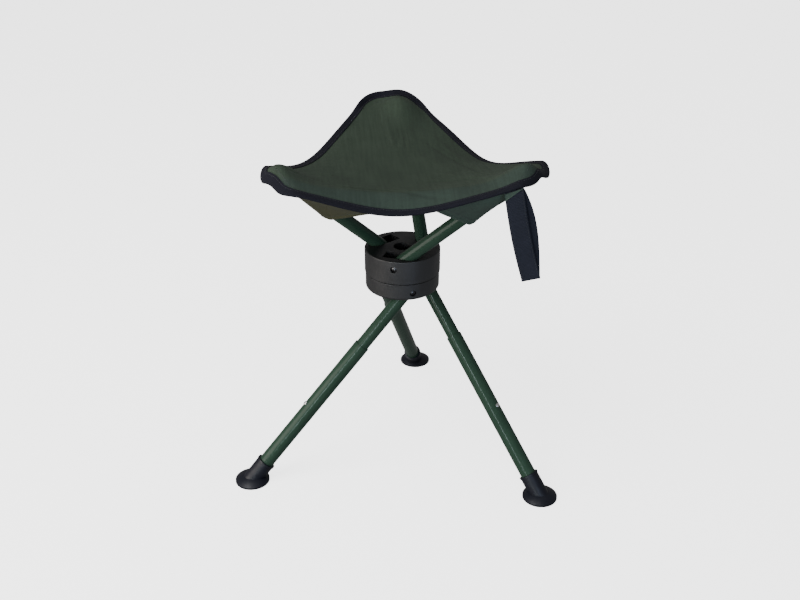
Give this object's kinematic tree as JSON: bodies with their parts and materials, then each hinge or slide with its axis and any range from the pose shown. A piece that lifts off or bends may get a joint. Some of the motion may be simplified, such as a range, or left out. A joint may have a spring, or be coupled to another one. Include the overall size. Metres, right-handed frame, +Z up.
{
  "type": "swivel tripod stool",
  "caption": "Folding tripod stool with a three-cornered cloth sling seat that swivels on a round moulded hub, telescopic legs with snap buttons, rubber feet and a carry strap.",
  "frame": {"origin": "the point on the floor below the swivel axis, midway among the three feet", "axes": "+Z up along the swivel axis, +Y towards the back leg's side, so that the legs spread at 330, 90 and 210 degrees from +X"},
  "size_m": [0.4635, 0.4376, 0.4954],
  "materials": {
    "tube_paint": "gloss",
    "hub_plastic": "satin",
    "foot_rubber": "satin",
    "cap_plastic": "matte",
    "seat_cloth": "matte",
    "edge_tape": "matte",
    "screw_steel": "satin",
    "bolt_steel": "satin",
    "button_steel": "polished",
    "spring_steel": "satin",
    "glide_plastic": "satin"
  },
  "bodies": {
    "base": {"lower_hub": "hub_plastic", "leg_pivot_screws": "screw_steel", "swivel_bolt": "bolt_steel", "swivel_nut": "bolt_steel", "head_washer": "bolt_steel", "nut_washer": "bolt_steel", "glide_washer": "glide_plastic"},
    "seat_hub": {"upper_hub": "hub_plastic", "arm_pivot_screws": "screw_steel", "seat_panel": "seat_cloth", "seat_binding": "edge_tape", "corner_pocket_1": "seat_cloth", "corner_pocket_2": "seat_cloth", "corner_pocket_3": "seat_cloth"},
    "arm_1": {"arm_tube_1": "tube_paint", "arm_cap_1": "cap_plastic"},
    "arm_2": {"arm_tube_2": "tube_paint", "arm_cap_2": "cap_plastic"},
    "arm_3": {"arm_tube_3": "tube_paint", "arm_cap_3": "cap_plastic"},
    "strap": {"carry_strap": "edge_tape"},
    "leg_1": {"leg_inner_tube_1": "tube_paint", "leg_spring_1": "spring_steel"},
    "shank_1": {"leg_outer_tube_1": "tube_paint", "foot_1": "foot_rubber"},
    "button_1": {"leg_button_1": "button_steel"},
    "leg_2": {"leg_inner_tube_2": "tube_paint", "leg_spring_2": "spring_steel"},
    "shank_2": {"leg_outer_tube_2": "tube_paint", "foot_2": "foot_rubber"},
    "button_2": {"leg_button_2": "button_steel"},
    "leg_3": {"leg_inner_tube_3": "tube_paint", "leg_spring_3": "spring_steel"},
    "shank_3": {"leg_outer_tube_3": "tube_paint", "foot_3": "foot_rubber"},
    "button_3": {"leg_button_3": "button_steel"}
  },
  "joints": [
    {"name": "swivel", "type": "hinge", "parent": "base", "child": "seat_hub", "pos_m": [0, 0, 0.3], "axis": [0, 0, 1], "continuous": true},
    {"name": "arm_1_fold", "type": "hinge", "parent": "seat_hub", "child": "arm_1", "pos_m": [0.00201, -0.03252, 0.3182], "axis": [-0.0983, -0.9952, 0], "range_deg": [0, 47.8], "deforming": ["seat_panel", "seat_binding", "corner_pocket_1", "corner_pocket_2", "corner_pocket_3"]},
    {"name": "arm_2_fold", "type": "hinge", "parent": "seat_hub", "child": "arm_2", "pos_m": [0.02715, 0.018, 0.3182], "axis": [0.911, 0.4125, 0], "range_deg": [0, 47.8], "deforming": ["seat_panel", "seat_binding", "corner_pocket_1", "corner_pocket_2", "corner_pocket_3"]},
    {"name": "arm_3_fold", "type": "hinge", "parent": "seat_hub", "child": "arm_3", "pos_m": [-0.02917, 0.01451, 0.3182], "axis": [-0.8127, 0.5827, 0], "range_deg": [0, 47.8], "deforming": ["seat_panel", "seat_binding", "corner_pocket_1", "corner_pocket_2", "corner_pocket_3"]},
    {"name": "strap_swing", "type": "hinge", "parent": "arm_1", "child": "strap", "pos_m": [0.16299, -0.08219, 0.4601], "axis": [0.947, 0.3213, 0], "range_deg": [-80, 20]},
    {"name": "leg_1_fold", "type": "hinge", "parent": "base", "child": "leg_1", "pos_m": [0.01702, 0.02948, 0.2813], "axis": [0.5, 0.866, 0], "range_deg": [0, 40.63]},
    {"name": "leg_1_slide", "type": "slide", "parent": "leg_1", "child": "shank_1", "axis": [0.5639, -0.3256, -0.7589], "range_m": [0, 0.065], "deforming": ["leg_button_1", "leg_spring_1"]},
    {"name": "button_1_press", "type": "slide", "parent": "leg_1", "child": "button_1", "axis": [-0.6573, 0.3795, -0.6512], "range_m": [0, 0.0042], "stiffness_N_per_m": 800, "deforming": ["leg_spring_1"]},
    {"name": "leg_2_fold", "type": "hinge", "parent": "base", "child": "leg_2", "pos_m": [-0.03404, 0, 0.2813], "axis": [-1, 0, 0], "range_deg": [0, 40.63]},
    {"name": "leg_2_slide", "type": "slide", "parent": "leg_2", "child": "shank_2", "axis": [0, 0.6512, -0.7589], "range_m": [0, 0.065], "deforming": ["leg_button_2", "leg_spring_2"]},
    {"name": "button_2_press", "type": "slide", "parent": "leg_2", "child": "button_2", "axis": [0, -0.7589, -0.6512], "range_m": [0, 0.0042], "stiffness_N_per_m": 800, "deforming": ["leg_spring_2"]},
    {"name": "leg_3_fold", "type": "hinge", "parent": "base", "child": "leg_3", "pos_m": [0.01702, -0.02948, 0.2813], "axis": [0.5, -0.866, 0], "range_deg": [0, 40.63]},
    {"name": "leg_3_slide", "type": "slide", "parent": "leg_3", "child": "shank_3", "axis": [-0.5639, -0.3256, -0.7589], "range_m": [0, 0.065], "deforming": ["leg_button_3", "leg_spring_3"]},
    {"name": "button_3_press", "type": "slide", "parent": "leg_3", "child": "button_3", "axis": [0.6573, 0.3795, -0.6512], "range_m": [0, 0.0042], "stiffness_N_per_m": 800, "deforming": ["leg_spring_3"]}
  ]
}
